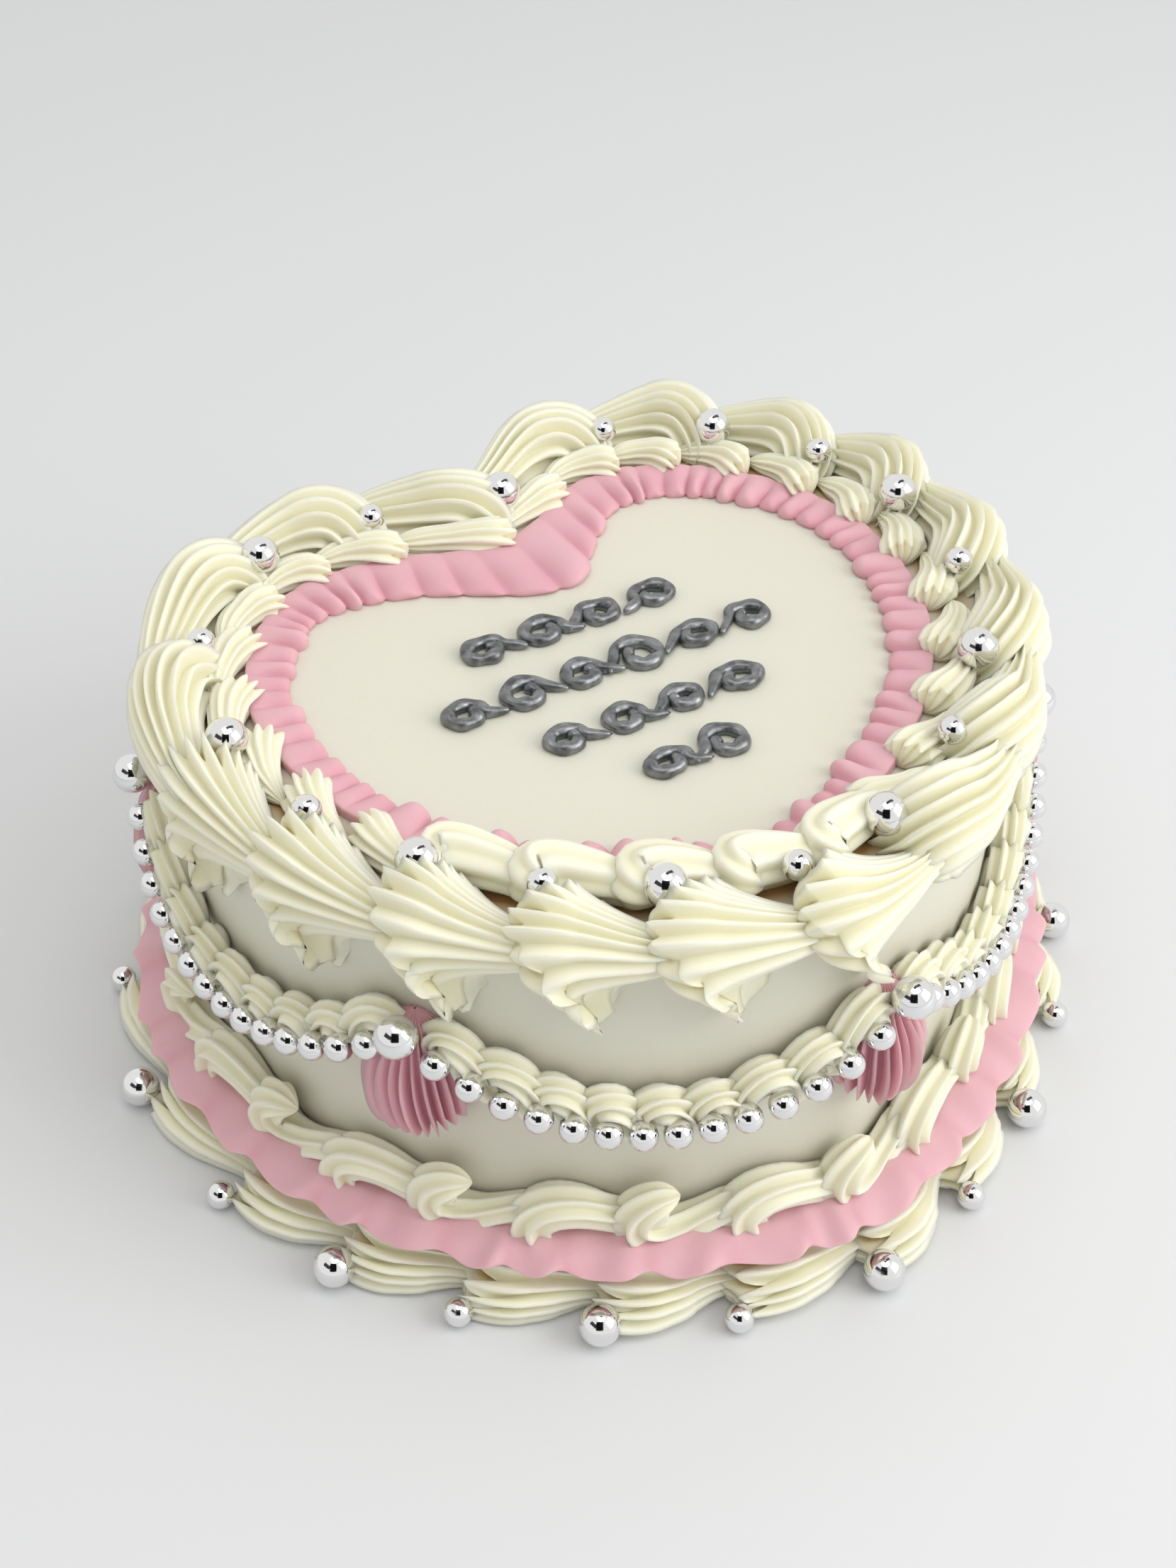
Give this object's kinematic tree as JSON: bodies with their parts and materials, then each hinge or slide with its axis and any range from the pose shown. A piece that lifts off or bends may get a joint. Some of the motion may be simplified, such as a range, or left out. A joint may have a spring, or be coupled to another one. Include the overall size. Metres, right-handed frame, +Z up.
{
  "type": "piped buttercream cake",
  "caption": "Heart-shaped layer cake with a smooth iced body, fluted shell borders, pink ruffles and drops, piped garlands and strings of silver sugar balls.",
  "frame": {"origin": "the middle of the cake's flat underside, on the surface that it stands on", "axes": "+Z up; -Y towards the tip of the heart, +Y towards its notch; +X to the right, seen from the tip"},
  "size_m": [0.2675, 0.2484, 0.1186],
  "materials": {
    "smooth_icing": "smooth satin buttercream",
    "buttercream": "soft piped buttercream",
    "pink_buttercream": "soft piped buttercream",
    "silver": "mirror-bright sugar ball coating",
    "grey_icing": "pearly grey icing"
  },
  "bodies": {
    "root": {"cake": "smooth_icing", "top_ruffle": "pink_buttercream", "top_inner_border": "buttercream", "top_outer_border": "buttercream", "top_ball_1": "silver", "top_ball_2": "silver", "top_ball_3": "silver", "top_ball_4": "silver", "top_ball_5": "silver", "top_ball_6": "silver", "top_ball_7": "silver", "top_ball_8": "silver", "top_ball_9": "silver", "swag_1": "buttercream", "drop_1": "pink_buttercream", "swag_ball_1": "silver", "swag_2": "buttercream", "drop_2": "pink_buttercream", "swag_ball_2": "silver", "swag_3": "buttercream", "drop_3": "pink_buttercream", "swag_ball_3": "silver", "swag_4": "buttercream", "drop_4": "pink_buttercream", "swag_ball_4": "silver", "swag_5": "buttercream", "drop_5": "pink_buttercream", "swag_ball_5": "silver", "swag_6": "buttercream", "drop_6": "pink_buttercream", "swag_ball_6": "silver", "base_shells": "buttercream", "base_ruffle": "pink_buttercream", "base_rope": "buttercream", "base_ball_1": "silver", "base_ball_2": "silver", "base_ball_3": "silver", "base_ball_4": "silver", "base_ball_5": "silver", "base_ball_6": "silver", "base_ball_7": "silver", "base_ball_8": "silver", "base_ball_9": "silver", "base_ball_10": "silver", "base_ball_11": "silver", "scroll_row_1": "grey_icing", "scroll_row_2": "grey_icing", "scroll_row_3": "grey_icing", "scroll_row_4": "grey_icing"}
  },
  "joints": []
}
